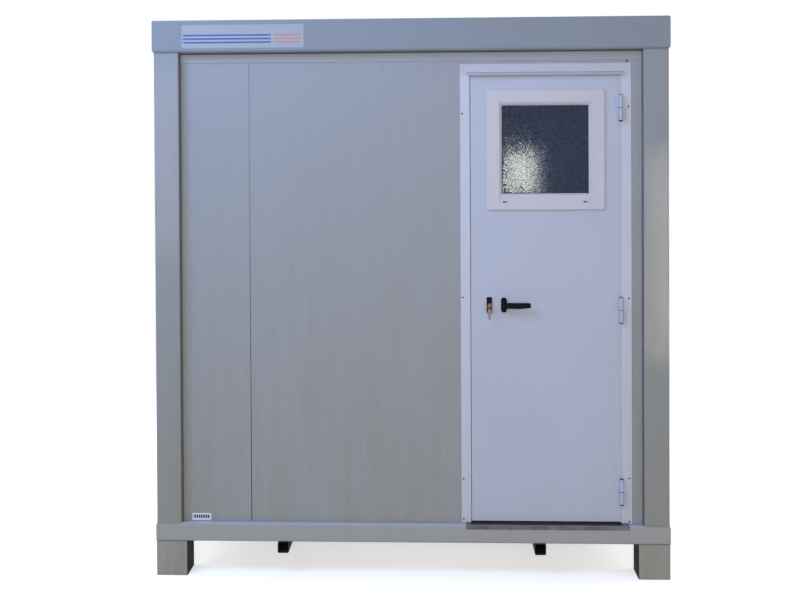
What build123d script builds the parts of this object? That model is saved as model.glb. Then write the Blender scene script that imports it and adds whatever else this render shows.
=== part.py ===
from build123d import *
import os

# A prefabricated toilet cabin with a folded steel frame, sandwich walls and one glazed door.
# X runs to the right along the door side, Y runs to the rear, Z runs up from the ground.
# The origin lies on the ground under the middle of the cabin. All sizes are millimetres.

# Whole cabin over the roof beams
cabin_width = 2300.0
cabin_depth = 1400.0
cabin_height = 2490.0

# Roof beams, folded from sheet, with a wide lower flange that carries the ceiling
beam_height = 145.0
beam_top_flange = 50.0
beam_top_lip = 18.0
beam_lower_bend = 14.0
frame_sheet = 4.0
frame_bend = 8.0

# Corner posts, a lipped angle that stands back from the beam faces
post_setback = 6.0
post_leg = 113.0
wall_setback = 46.0

# Base rails and the corner feet below them
rail_setback = 3.0
rail_height = 80.0
foot_setback = 4.0
foot_side = 140.0
foot_height = 155.0
foot_wall = 6.0
foot_base = 10.0
foot_corner = 7.0

# Lift tubes that run through under the base rails
tube_side = 50.0
tube_wall = 3.0
tube_corner = 7.0
tube_spacing = 1147.0

# Floor of board on joists, with a sheet below
floor_board = 22.0
joist_width = 40.0
joist_sheet = 3.0
joist_count = 5
underside_sheet = 2.0
fit_gap = 1.0

# Ceiling panel and ribbed roof sheet, which lie inside the roof beams
ceiling_thickness = 60.0
roof_sheet = 2.0
roof_rib_pitch = 200.0
roof_rib_height = 35.0
roof_rib_crest = 40.0
roof_rib_slope = 20.0
roof_fit_gap = 2.0

# Sandwich walls with shallow upright ribs
wall_thickness = 60.0
wall_rib_pitch = 83.3
wall_rib_depth = 0.5
wall_rib_slope = 4.0
wall_panel_width = 1000.0
wall_joint_chamfer = 2.0
front_first_panel = 376.0
head_trim_height = 42.0
head_trim_sheet = 3.0

# Door opening in the front wall and its frame
strip_beside_door = 46.0
wall_over_door = 57.0
leaf_width = 662.5
leaf_hinge_gap = 5.0
leaf_lock_gap = 7.0
leaf_bottom_gap = 6.0
leaf_top_gap = 5.0
leaf_thickness = 40.0
leaf_proud = 4.0
frame_trim_sheet = 3.0
frame_trim_lock_side = 39.0
frame_trim_hinge_side = 45.5
frame_trim_head = 51.0
frame_trim_cover = 14.0
frame_stop_width = 15.0
frame_stop_gap = 5.0

# Threshold plate that folds down over the base rail
threshold_sheet = 2.0
threshold_lip = 19.0
threshold_overhang_left = 21.0
threshold_overhang_right = 27.0

# Drip strip above the leaf
drip_depth = 22.0
drip_nose = 6.0
drip_height = 15.0
drip_overhang_left = 8.0
drip_overhang_right = 10.0

# Hinges with a fixed pin in the lower half, placed from the lower and upper edges of the leaf
hinge_low_height = 137.0
hinge_middle_height = 947.0
hinge_top_margin = 143.0
hinge_barrel_radius = 9.0
hinge_barrel_height = 55.0
hinge_axis_proud = 14.0
hinge_pin_radius = 4.0
hinge_pin_length = 40.0
hinge_running_gap = 0.5
hinge_pin_gap = 0.15
hinge_plate_width = 26.0
hinge_plate_height = 46.0
hinge_plate_sheet = 4.0
hinge_plate_end = 6.0
hinge_arm_width = 8.5

# Window in the leaf, placed from the leaf's hinge edge and upper edge
window_right_margin = 67.5
window_width = 525.0
window_height = 535.0
window_top_margin = 61.0
window_corner = 9.0
window_edge = 2.0
bead_slope = 7.0
window_cover = 15.0
window_flange = 10.0
window_inner_flange = 6.0
window_side_face = 56.0
window_top_face = 55.0
window_bottom_face = 32.0
bead_width = 14.0
bead_bottom = 41.0
bead_setback = 6.0
glass_thickness = 20.0
glass_fit_gap = 3.0
glass_depth = 22.0

# Lever handle, its rosettes, and the lock with its key
spindle_height = 968.5
spindle_from_hinge = 519.0
spindle_side = 9.0
spindle_bore_radius = 9.0
rosette_width = 26.0
rosette_height = 67.0
rosette_thickness = 8.0
rosette_bore_radius = 8.0
lever_neck_radius = 7.5
lever_neck_length = 35.0
lever_root = 11.0
lever_length = 118.0
lever_above = 12.0
lever_below = 12.0
lever_belly = 14.0
lever_belly_from_spindle = 66.0
lever_tip_above = 11.0
lever_tip_below = 9.0
lever_tip_corner = 8.0
lever_depth = 17.0
lever_edge = 4.0
lever_seat_gap = 0.5
lock_from_spindle = 65.0
lock_plate_width = 24.0
lock_plate_height = 69.0
lock_plate_thickness = 8.0
lock_plate_corner = 3.0
cylinder_radius = 8.5
cylinder_web = 10.0
cylinder_drop = 16.0
cylinder_gap = 0.2
key_bow_radius = 12.0
key_bow_sheet = 2.5
key_shank = 6.0

# Levels that follow from the sizes above
rail_top = foot_height + rail_height
beam_bottom = cabin_height - beam_height
post_height = beam_bottom - rail_top

# Half sizes of the faces, measured from the middle of the cabin
half_x = cabin_width / 2
half_y = cabin_depth / 2
post_x = half_x - post_setback
post_y = half_y - post_setback
rail_x = half_x - rail_setback
rail_y = half_y - rail_setback
wall_x = post_x - wall_setback
wall_y = post_y - wall_setback
room_x = wall_x - wall_thickness
room_y = wall_y - wall_thickness

# Flange widths that end in line with the inner wall face
beam_lower_flange = half_y - room_y
rail_flange = rail_y - room_y

# Front planes of the door side, all with Y towards the rear
front_wall_face = -wall_y
leaf_face = front_wall_face - leaf_proud
leaf_back = leaf_face + leaf_thickness
trim_face = front_wall_face - frame_trim_sheet
room_face = -room_y
stop_face = leaf_back + frame_stop_gap
hinge_axis_y = leaf_face - hinge_axis_proud

# Door leaf and frame in the plane of the front wall
frame_right = post_x - post_leg - strip_beside_door
jamb_right = frame_right - frame_trim_hinge_side
leaf_right = jamb_right - leaf_hinge_gap
hinge_axis_x = jamb_right - leaf_hinge_gap / 2
leaf_left = leaf_right - leaf_width
jamb_left = leaf_left - leaf_lock_gap
frame_left = jamb_left - frame_trim_lock_side
threshold_top = rail_top + threshold_sheet
leaf_bottom = threshold_top + leaf_bottom_gap
frame_top = beam_bottom - wall_over_door
head_bottom = frame_top - frame_trim_head
leaf_top = head_bottom - leaf_top_gap
hinge_heights = (
    leaf_bottom + hinge_low_height,
    leaf_bottom + hinge_middle_height,
    leaf_top - hinge_top_margin,
)
cut_left = frame_left + frame_trim_cover
cut_right = frame_right - frame_trim_cover
cut_top = frame_top - frame_trim_cover

# Window places on the leaf
window_right = leaf_right - window_right_margin
window_left = window_right - window_width
window_top = leaf_top - window_top_margin
window_bottom = window_top - window_height
sash_left = window_left + window_side_face
sash_right = window_right - window_side_face
sash_bottom = window_bottom + window_bottom_face
sash_top = window_top - window_top_face
glass_left = sash_left + bead_width
glass_right = sash_right - bead_width
glass_bottom = sash_bottom + bead_bottom
glass_top = sash_top - bead_width

# Lever and lock places on the leaf
spindle_x = hinge_axis_x - spindle_from_hinge
spindle_z = leaf_bottom + spindle_height
lock_x = spindle_x - lock_from_spindle


def block(x0, x1, y0, y1, z0, z1):
    """A box between two corners."""
    size = Box(x1 - x0, y1 - y0, z1 - z0, align=(Align.MIN, Align.MIN, Align.MIN))
    return Pos(x0, y0, z0) * size


def folded(points, radii, sheet):
    """The face of a folded sheet. Its outer line runs through the points, with the sheet on the left."""
    line = FilletPolyline(*points, radius=radii)
    return make_face(offset(line, amount=sheet, side=Side.LEFT))


def mitred_member(section, length, reach):
    """A folded member along X with its outer face at Y = 0 and both ends mitred inwards."""
    bar = Pos(-length / 2, 0, 0) * extrude(Plane.YZ * section, amount=length)
    half = length / 2
    outline = Polyline((-half, 0), (half, 0), (half - reach, reach), (-half + reach, reach), close=True)
    return bar & extrude(make_face(outline), amount=cabin_height)


def frame_ring(section, reach, x, y, z):
    """Four mitred members around the cabin, with their outer faces at x and y from the middle."""
    along_x = mitred_member(section, 2 * x, reach)
    along_y = mitred_member(section, 2 * y, reach)
    return {
        "front": Pos(0, -y, z) * along_x,
        "rear": Pos(0, y, z) * Rot(0, 0, 180) * along_x,
        "left": Pos(-x, 0, z) * Rot(0, 0, -90) * along_y,
        "right": Pos(x, 0, z) * Rot(0, 0, 90) * along_y,
    }


def corners(x, y):
    """Name, place and turn of the four corners, for a piece drawn in the front left one."""
    return {
        "front_left": Pos(-x, -y, 0),
        "front_right": Pos(x, -y, 0) * Rot(0, 0, 90),
        "rear_right": Pos(x, y, 0) * Rot(0, 0, 180),
        "rear_left": Pos(-x, y, 0) * Rot(0, 0, 270),
    }


def roof_beams():
    """Roof frame with a lip down at the top and a wide flange under the ceiling."""
    section = folded(
        [
            (beam_top_flange, beam_height - beam_top_lip),
            (beam_top_flange, beam_height),
            (0, beam_height),
            (0, 0),
            (beam_lower_flange, 0),
        ],
        [frame_bend, frame_bend, beam_lower_bend],
        frame_sheet,
    )
    ring = frame_ring(section, beam_lower_flange, half_x, half_y, beam_bottom)
    return {"roof_beam_" + side: beam for side, beam in ring.items()}


def base_rails():
    """Base frame of channels with their open side inwards."""
    section = folded(
        [(rail_flange, rail_height), (0, rail_height), (0, 0), (rail_flange, 0)],
        [frame_bend, frame_bend],
        frame_sheet,
    )
    ring = frame_ring(section, rail_flange, rail_x, rail_y, foot_height)
    return {"base_rail_" + side: rail for side, rail in ring.items()}


def corner_posts():
    """Lipped angle posts, whose lips end on the outer faces of the walls."""
    section = folded(
        [(wall_setback, post_leg), (0, post_leg), (0, 0), (post_leg, 0), (post_leg, wall_setback)],
        [frame_bend, frame_bend, frame_bend],
        frame_sheet,
    )
    post = Pos(0, 0, rail_top) * extrude(section, amount=post_height)
    return {"corner_post_" + name: place * post for name, place in corners(post_x, post_y).items()}


def corner_feet():
    """Square box feet with a thick base plate, open at the top under the base rails."""
    outline = Pos(foot_side / 2, foot_side / 2) * RectangleRounded(foot_side, foot_side, foot_corner)
    inner_side = foot_side - 2 * foot_wall
    hollow = Pos(foot_side / 2, foot_side / 2) * Rectangle(inner_side, inner_side)
    foot = extrude(outline, amount=foot_height)
    foot -= Pos(0, 0, foot_base) * extrude(hollow, amount=foot_height - foot_base)
    places = corners(half_x - foot_setback, half_y - foot_setback)
    return {"foot_" + name: place * foot for name, place in places.items()}


def lift_tubes():
    """Two square tubes for lifting forks, open at the front and at the rear."""
    inner_side = tube_side - 2 * tube_wall
    section = RectangleRounded(tube_side, tube_side, tube_corner)
    section -= RectangleRounded(inner_side, inner_side, tube_corner - tube_wall)
    tube = extrude(Plane.XZ * section, amount=2 * rail_y)
    tube = Pos(0, rail_y, foot_height - tube_side / 2) * tube
    return {
        "lift_tube_left": Pos(-tube_spacing / 2, 0, 0) * tube,
        "lift_tube_right": Pos(tube_spacing / 2, 0, 0) * tube,
    }


def floor_pieces():
    """Floor board level with the base rails, joists below it and a closing sheet underneath."""
    pan_bottom = foot_height + frame_sheet
    pan_top = pan_bottom + underside_sheet
    board_bottom = rail_top - floor_board
    inside_x = rail_x - frame_bend - fit_gap
    inside_y = rail_y - frame_bend - fit_gap
    board = block(-room_x, room_x, -room_y, room_y, board_bottom, rail_top)
    pan = block(-inside_x, inside_x, -inside_y, inside_y, pan_bottom, pan_top)
    height = board_bottom - pan_top
    section = Rectangle(joist_width, height)
    opening = Rectangle(joist_width, height - 2 * joist_sheet)
    section -= Pos(joist_sheet, 0) * opening
    joist = extrude(Plane.XZ * section, amount=2 * inside_y)
    joist = Pos(0, inside_y, pan_top + height / 2) * joist
    spacing = 2 * room_x / joist_count
    first = -spacing * (joist_count - 1) / 2
    joists = Compound([Pos(first + spacing * i, 0, 0) * joist for i in range(joist_count)])
    return {"floor_board": board, "floor_joists": joists, "underside_pan": pan}


def roof_pieces():
    """Ceiling panel on the beam flanges and a sheet with upright ribs on top of it."""
    inside_x = half_x - beam_lower_bend - roof_fit_gap
    inside_y = half_y - beam_lower_bend - roof_fit_gap
    bottom = beam_bottom + frame_sheet
    top = bottom + ceiling_thickness
    ceiling = block(-inside_x, inside_x, -inside_y, inside_y, bottom, top)
    rib_foot = roof_rib_crest / 2 + roof_rib_slope
    ribs = int((2 * inside_x - 2 * rib_foot) // roof_rib_pitch) + 1
    first = -roof_rib_pitch * (ribs - 1) / 2
    line = [(-inside_x, 0)]
    for i in range(ribs):
        middle = first + roof_rib_pitch * i
        line.append((middle - rib_foot, 0))
        line.append((middle - roof_rib_crest / 2, roof_rib_height))
        line.append((middle + roof_rib_crest / 2, roof_rib_height))
        line.append((middle + rib_foot, 0))
    line.append((inside_x, 0))
    raised = [(x, z + roof_sheet) for x, z in reversed(line)]
    section = make_face(Polyline(*line, *raised, close=True))
    sheet = Pos(0, inside_y, top) * extrude(Plane.XZ * section, amount=2 * inside_y)
    return {"ceiling_panel": ceiling, "roof_sheet": sheet}


def ribbed_panel(width, height, ribs_from_right=False, plain=False):
    """A sandwich panel along X from 0 to width, with its outer face at Y = 0 and its joints chamfered."""
    c = wall_joint_chamfer
    line = [(0, c), (c, 0)]
    ribs = 0 if plain else int((width - 2 * c) // wall_rib_pitch)
    start = width - ribs * wall_rib_pitch if ribs_from_right else 0
    flat = wall_rib_pitch / 2
    for i in range(ribs):
        low = start + i * wall_rib_pitch + flat / 2
        line.append((low, 0))
        line.append((low + wall_rib_slope, wall_rib_depth))
        line.append((low + flat - wall_rib_slope, wall_rib_depth))
        line.append((low + flat, 0))
    line += [(width - c, 0), (width, c), (width, wall_thickness), (0, wall_thickness)]
    return extrude(make_face(Polyline(*line, close=True)), amount=height)


def front_walls():
    """Front wall in two ribbed panels, a piece over the door and a strip beside it."""
    joint = front_first_panel - wall_x
    left = ribbed_panel(front_first_panel, post_height, ribs_from_right=True)
    middle = ribbed_panel(cut_left - joint, post_height)
    over = ribbed_panel(cut_right - cut_left, beam_bottom - cut_top, plain=True)
    right = ribbed_panel(wall_x - cut_right, post_height, plain=True)
    return {
        "front_wall_left": Pos(-wall_x, front_wall_face, rail_top) * left,
        "front_wall_middle": Pos(joint, front_wall_face, rail_top) * middle,
        "front_wall_over_door": Pos(cut_left, front_wall_face, cut_top) * over,
        "front_wall_right": Pos(cut_right, front_wall_face, rail_top) * right,
    }


def other_walls():
    """Side walls in two panels each and the rear wall in three, of the same make as the front."""
    rest = 2 * room_y - wall_panel_width
    wide = ribbed_panel(wall_panel_width, post_height)
    side_rest_left = ribbed_panel(rest, post_height)
    side_rest_right = ribbed_panel(rest, post_height, ribs_from_right=True)
    rear_end = wall_x - wall_panel_width / 2
    rear_first = ribbed_panel(rear_end, post_height, ribs_from_right=True)
    rear_last = ribbed_panel(rear_end, post_height)
    left = Pos(-wall_x, room_y, rail_top) * Rot(0, 0, -90)
    right = Pos(wall_x, -room_y, rail_top) * Rot(0, 0, 90)
    rear = Pos(wall_x, wall_y, rail_top) * Rot(0, 0, 180)
    return {
        "left_wall_rear": left * wide,
        "left_wall_front": left * Pos(wall_panel_width, 0, 0) * side_rest_left,
        "right_wall_front": right * side_rest_right,
        "right_wall_rear": right * Pos(rest, 0, 0) * wide,
        "rear_wall_right": rear * rear_first,
        "rear_wall_middle": rear * Pos(rear_end, 0, 0) * wide,
        "rear_wall_left": rear * Pos(rear_end + wall_panel_width, 0, 0) * rear_last,
    }


def head_trims():
    """Flat strips that close the joint between the walls and the roof beams, one on each side."""
    reach_x = post_x - post_leg
    reach_y = post_y - post_leg
    low = beam_bottom - head_trim_height
    out_x = wall_x + head_trim_sheet
    out_y = wall_y + head_trim_sheet
    strips = [
        block(-reach_x, reach_x, -out_y, -wall_y, low, beam_bottom),
        block(-reach_x, reach_x, wall_y, out_y, low, beam_bottom),
        block(-out_x, -wall_x, -reach_y, reach_y, low, beam_bottom),
        block(wall_x, out_x, -reach_y, reach_y, low, beam_bottom),
    ]
    return {"head_trims": Compound(strips)}


def jamb_section(inner, outer, cut, inwards):
    """Plan of a jamb that grips the wall edge and carries the stop behind the leaf."""
    stop = inner + inwards * frame_stop_width
    room_trim = room_face + frame_trim_sheet
    points = [
        (inner, trim_face),
        (outer, trim_face),
        (outer, front_wall_face),
        (cut, front_wall_face),
        (cut, room_face),
        (outer, room_face),
        (outer, room_trim),
        (stop, room_trim),
        (stop, stop_face),
        (inner, stop_face),
    ]
    return make_face(Polyline(*points, close=True))


def door_frame():
    """Two jambs with the head across them."""
    jamb_height = head_bottom - rail_top
    left = extrude(jamb_section(jamb_left, frame_left, cut_left, 1), amount=jamb_height)
    right = extrude(jamb_section(jamb_right, frame_right, cut_right, -1), amount=jamb_height)
    room_trim = room_face + frame_trim_sheet
    stop_bottom = head_bottom - frame_stop_width
    head = block(frame_left, frame_right, trim_face, front_wall_face, head_bottom, frame_top)
    head += block(cut_left, cut_right, front_wall_face, room_face, head_bottom, cut_top)
    head += block(frame_left, frame_right, room_face, room_trim, head_bottom, frame_top)
    stop_left = jamb_left + frame_stop_width
    stop_right = jamb_right - frame_stop_width
    head += block(stop_left, stop_right, stop_face, room_trim, stop_bottom, head_bottom)
    return {
        "door_jamb_left": Pos(0, 0, rail_top) * left,
        "door_jamb_right": Pos(0, 0, rail_top) * right,
        "door_head": head,
    }


def threshold_plate():
    """Plate across the doorway, wider in front of the frame, folded down over the base rail."""
    left = jamb_left - threshold_overhang_left
    right = jamb_right + threshold_overhang_right
    stop_left = jamb_left + frame_stop_width
    stop_right = jamb_right - frame_stop_width
    front = -rail_y - threshold_sheet
    bend = frame_bend + threshold_sheet
    section = folded(
        [(trim_face, threshold_top), (front, threshold_top), (front, threshold_top - threshold_lip)],
        bend,
        threshold_sheet,
    )
    plate = Pos(left, 0, 0) * extrude(Plane.YZ * section, amount=right - left)
    plate += block(jamb_left, jamb_right, trim_face, stop_face, rail_top, threshold_top)
    plate += block(stop_left, stop_right, stop_face, room_face, rail_top, threshold_top)
    return {"threshold": plate}


def drip_strip():
    """Sloped strip on the frame head that throws rain clear of the leaf."""
    left = jamb_left - drip_overhang_left
    right = jamb_right + drip_overhang_right
    nose = trim_face - drip_depth
    points = [
        (trim_face, head_bottom),
        (trim_face, head_bottom + drip_height),
        (nose, head_bottom + drip_nose),
        (nose, head_bottom),
    ]
    section = make_face(Polyline(*points, close=True))
    strip = extrude(Plane.YZ * section, amount=right - left)
    return {"drip_strip": Pos(left, 0, 0) * strip}


def upright(radius, z0, z1):
    """A round bar along Z about the hinge axis, from z0 to z1."""
    bar = Cylinder(radius, z1 - z0, align=(Align.CENTER, Align.CENTER, Align.MIN))
    return Pos(0, 0, z0) * bar


def hinge_halves():
    """Lower halves with their pins on the frame, and upper halves with a blind bore on the leaf."""
    lower = []
    upper = []
    half_gap = hinge_running_gap / 2
    frame_depth = hinge_axis_proud + leaf_proud - frame_trim_sheet
    inner = leaf_hinge_gap / 2
    near = hinge_plate_end
    far = hinge_plate_end + hinge_plate_height
    for height in hinge_heights:
        barrel = upright(hinge_barrel_radius, -hinge_barrel_height, -half_gap)
        pin = upright(hinge_pin_radius, -hinge_running_gap, hinge_pin_length)
        plate = block(inner, hinge_plate_width, frame_depth - hinge_plate_sheet, frame_depth, -far, -near)
        arm = block(inner, hinge_arm_width, 0, frame_depth, -far, -near)
        place = Pos(hinge_axis_x, hinge_axis_y, height)
        lower.append(place * (barrel + pin + plate + arm))

        barrel = upright(hinge_barrel_radius, half_gap, hinge_barrel_height)
        bore = upright(hinge_pin_radius + hinge_pin_gap, 0, hinge_pin_length + hinge_running_gap)
        back = hinge_axis_proud
        plate = block(-hinge_plate_width, -inner, back - hinge_plate_sheet, back, near, far)
        arm = block(-hinge_arm_width, -inner, 0, back, near, far)
        upper.append(place * (barrel + plate + arm - bore))
    return {"hinge_frame_halves": Compound(lower), "hinge_leaf_halves": Compound(upper)}


def cylinder_outline(gap):
    """Round core with a web below it, as a face in the X Z plane about the lock's middle."""
    outline = Circle(cylinder_radius + gap)
    drop = cylinder_drop + gap
    outline += Pos(0, -drop / 2) * Rectangle(cylinder_web + 2 * gap, drop)
    outline += Pos(0, -drop) * Circle(cylinder_web / 2 + gap)
    return outline


def through(face, x, z, y0, y1):
    """Extrude a face drawn in the X Z plane from y0 to y1 about the point x, z."""
    return Pos(x, y1, z) * extrude(Plane.XZ * face, amount=y1 - y0)


def door_leaf():
    """Flat leaf with its window cut-out, spindle bore and lock cut-out."""
    leaf = block(leaf_left, leaf_right, leaf_face, leaf_back, leaf_bottom, leaf_top)
    leaf -= block(
        window_left + window_cover, window_right - window_cover, leaf_face, leaf_back,
        window_bottom + window_cover, window_top - window_cover,
    )
    leaf -= through(Circle(spindle_bore_radius), spindle_x, spindle_z, leaf_face, leaf_back)
    leaf -= through(cylinder_outline(cylinder_gap), lock_x, spindle_z, leaf_face, leaf_back)
    return {"door_leaf": leaf}


def rectangle_between(x0, x1, z0, z1, corner=0.0):
    """A rectangle by its edges, with its corners rounded where a radius is given."""
    width = x1 - x0
    height = z1 - z0
    shape = RectangleRounded(width, height, corner) if corner else Rectangle(width, height)
    return Pos((x0 + x1) / 2, (z0 + z1) / 2) * shape


def door_window():
    """Plastic window frame clamped through the leaf, its glazing bead and the sealed glass unit."""
    front = leaf_face - window_flange
    back = leaf_back + window_inner_flange
    glass_front = leaf_face - bead_setback + glass_depth - glass_thickness / 2
    glass_back = glass_front + glass_thickness
    outer = rectangle_between(window_left, window_right, window_bottom, window_top, window_corner)
    body = rectangle_between(
        window_left + window_cover, window_right - window_cover,
        window_bottom + window_cover, window_top - window_cover,
    )
    sash = rectangle_between(sash_left, sash_right, sash_bottom, sash_top)
    sight = rectangle_between(glass_left, glass_right, glass_bottom, glass_top)
    frame = through(outer, 0, 0, front, leaf_face)
    frame = chamfer(frame.faces().sort_by(Axis.Y)[0].edges(), window_edge)
    frame += through(body, 0, 0, leaf_face, leaf_back)
    frame += through(outer, 0, 0, leaf_back, back)
    frame -= through(sash, 0, 0, front, glass_back)
    frame -= through(sight, 0, 0, glass_back, back)
    bead = through(sash, 0, 0, front + bead_setback, glass_front)
    bead -= through(sight, 0, 0, front + bead_setback, glass_front)
    sight_edges = bead.faces().sort_by(Axis.Y)[0].inner_wires()[0].edges()
    bead = chamfer(sight_edges, bead_slope)
    pane = rectangle_between(
        sash_left + glass_fit_gap, sash_right - glass_fit_gap,
        sash_bottom + glass_fit_gap, sash_top - glass_fit_gap,
    )
    glass = through(pane, 0, 0, glass_front, glass_back)
    return {"window_frame": frame, "window_bead": bead, "window_glass": glass}


def rosettes_and_plates():
    """Oval rosettes round the spindle and oblong lock plates, one of each on both leaf faces."""
    rosette = SlotOverall(rosette_height, rosette_width, rotation=90)
    rosette -= Circle(rosette_bore_radius)
    plate = RectangleRounded(lock_plate_width, lock_plate_height, lock_plate_corner)
    plate -= cylinder_outline(cylinder_gap)
    rosettes = [
        through(rosette, spindle_x, spindle_z, leaf_face - rosette_thickness, leaf_face),
        through(rosette, spindle_x, spindle_z, leaf_back, leaf_back + rosette_thickness),
    ]
    plates = [
        through(plate, lock_x, spindle_z, leaf_face - lock_plate_thickness, leaf_face),
        through(plate, lock_x, spindle_z, leaf_back, leaf_back + lock_plate_thickness),
    ]
    return {"lever_rosettes": Compound(rosettes), "lock_plates": Compound(plates)}


def lever_handle():
    """Outside and inside levers on one square spindle, drawn as one piece that turns."""
    reach = rosette_thickness + lever_neck_length
    outline = make_face(
        Polyline(
            (-lever_root, lever_above),
            (lever_length, lever_tip_above),
            (lever_length, -lever_tip_below),
            (lever_belly_from_spindle, -lever_belly),
            (-lever_root, -lever_below),
            close=True,
        )
    )
    ends = outline.vertices().group_by(Axis.X)
    outline = fillet(ends[-1], lever_tip_corner)
    outline = fillet(outline.vertices().group_by(Axis.X)[0], lever_neck_radius)
    handle = through(Rectangle(spindle_side, spindle_side), 0, 0, leaf_face, leaf_back)
    for face, outwards in ((leaf_face, -1), (leaf_back, 1)):
        near = face + outwards * lever_seat_gap
        inner = face + outwards * (reach - lever_depth)
        outer = face + outwards * reach
        grip = through(outline, 0, 0, min(inner, outer), max(inner, outer))
        outer_face = grip.faces().sort_by(Axis.Y)[0 if outwards < 0 else -1]
        grip = chamfer(outer_face.edges(), lever_edge)
        neck = through(Circle(lever_neck_radius), 0, 0, min(near, inner), max(near, inner))
        root = through(Rectangle(spindle_side, spindle_side), 0, 0, min(face, near), max(face, near))
        handle = handle + neck + grip + root
    return {"lever_handle": Pos(spindle_x, 0, spindle_z) * handle}


def lock_cylinder_and_key():
    """Profile cylinder through the leaf with the key standing in its outer end."""
    front = leaf_face - lock_plate_thickness
    back = leaf_back + lock_plate_thickness
    cylinder = through(cylinder_outline(0), lock_x, spindle_z, front, back)
    reach = key_shank + key_bow_radius
    bow = Pos(0, -reach) * Circle(key_bow_radius)
    shank_length = key_shank + key_bow_radius / 2
    shank = Pos(0, -shank_length / 2) * Rectangle(key_bow_radius, shank_length)
    hole = Pos(0, -reach - key_bow_radius / 2) * Circle(key_bow_radius / 4)
    flat = Plane.YZ * Rot(0, 0, -90) * (bow + shank - hole)
    key = Pos(lock_x - key_bow_sheet / 2, front, spindle_z) * extrude(flat, amount=key_bow_sheet)
    return {"lock_cylinder": cylinder, "door_key": key}


def all_pieces():
    """Every piece of the cabin by its name."""
    makers = [
        roof_beams, base_rails, corner_posts, corner_feet, lift_tubes, floor_pieces, roof_pieces,
        front_walls, other_walls, head_trims, door_frame, threshold_plate, drip_strip, hinge_halves,
        door_leaf, door_window, rosettes_and_plates, lever_handle, lock_cylinder_and_key,
    ]
    pieces = {}
    for maker in makers:
        pieces.update(maker())
    return pieces


os.makedirs("parts", exist_ok=True)
for name, shape in all_pieces().items():
    export_step(shape, "parts/" + name + ".step")
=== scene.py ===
import math

import bmesh
import bpy
from bpy.props import FloatProperty, FloatVectorProperty, PointerProperty
from mathutils import Matrix, Vector


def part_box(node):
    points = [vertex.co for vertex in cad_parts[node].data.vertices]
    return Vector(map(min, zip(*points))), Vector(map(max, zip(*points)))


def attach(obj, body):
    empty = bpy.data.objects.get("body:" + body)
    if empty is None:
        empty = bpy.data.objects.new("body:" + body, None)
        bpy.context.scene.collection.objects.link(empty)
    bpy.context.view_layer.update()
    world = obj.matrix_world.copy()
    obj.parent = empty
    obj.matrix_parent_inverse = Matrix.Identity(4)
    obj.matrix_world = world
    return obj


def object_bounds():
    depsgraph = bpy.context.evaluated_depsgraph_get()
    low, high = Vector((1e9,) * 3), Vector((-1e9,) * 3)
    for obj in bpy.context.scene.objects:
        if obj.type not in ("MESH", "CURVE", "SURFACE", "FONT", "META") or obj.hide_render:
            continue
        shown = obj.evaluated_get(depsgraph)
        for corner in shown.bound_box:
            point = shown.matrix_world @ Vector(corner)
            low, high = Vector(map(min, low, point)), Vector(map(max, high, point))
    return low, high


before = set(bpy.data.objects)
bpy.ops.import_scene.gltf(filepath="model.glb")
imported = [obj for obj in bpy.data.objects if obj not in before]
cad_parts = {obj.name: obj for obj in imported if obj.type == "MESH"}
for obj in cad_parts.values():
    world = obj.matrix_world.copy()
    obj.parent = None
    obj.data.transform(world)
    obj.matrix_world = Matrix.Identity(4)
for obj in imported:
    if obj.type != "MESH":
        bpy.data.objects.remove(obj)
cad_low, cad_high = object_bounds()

bl_info = {
    "name": "Toilet Cabin Finishes",
    "version": (1, 0, 0),
    "blender": (4, 5, 0),
    "location": "3D View > Sidebar > Cabin",
    "description": "Finishes, small fittings and studio for a prefabricated toilet cabin",
    "category": "Object",
}

# One millimetre in Blender's metres
MM = 0.001

# CAD bodies
CABIN = "cabin"
DOOR = "door"

# Sizes of the CAD part that the fittings follow, in millimetres: the axis and the middles of
# the three hinges, and the gaps round the leaf
HINGE_X, HINGE_Y = 937.0, -666.0
HINGE_HEIGHTS = (380.0, 1190.0, 2089.0)
LOCK_GAP, HINGE_GAP, TOP_GAP = 7.0, 5.0, 5.0


def linear(code):
    """An sRGB hex colour as the linear values that shaders and lamps take."""
    values = [int(code[i : i + 2], 16) / 255 for i in (0, 2, 4)]
    return tuple(v / 12.92 if v <= 0.04045 else ((v + 0.055) / 1.055) ** 2.4 for v in values)


def colour(name, description, code):
    """A colour that a user can change in the sidebar."""
    return FloatVectorProperty(
        name=name, description=description, default=linear(code),
        size=3, min=0.0, max=1.0, subtype="COLOR",
    )


def size(name, description, millimetres):
    """A length that a user can change in the sidebar."""
    return FloatProperty(
        name=name, description=description, default=millimetres * MM,
        min=0.0, unit="LENGTH", subtype="DISTANCE",
    )


def lamp_power(name, description, watts):
    """A lamp's power that a user can change in the sidebar."""
    return FloatProperty(name=name, description=description, default=watts, unit="POWER")


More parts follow.
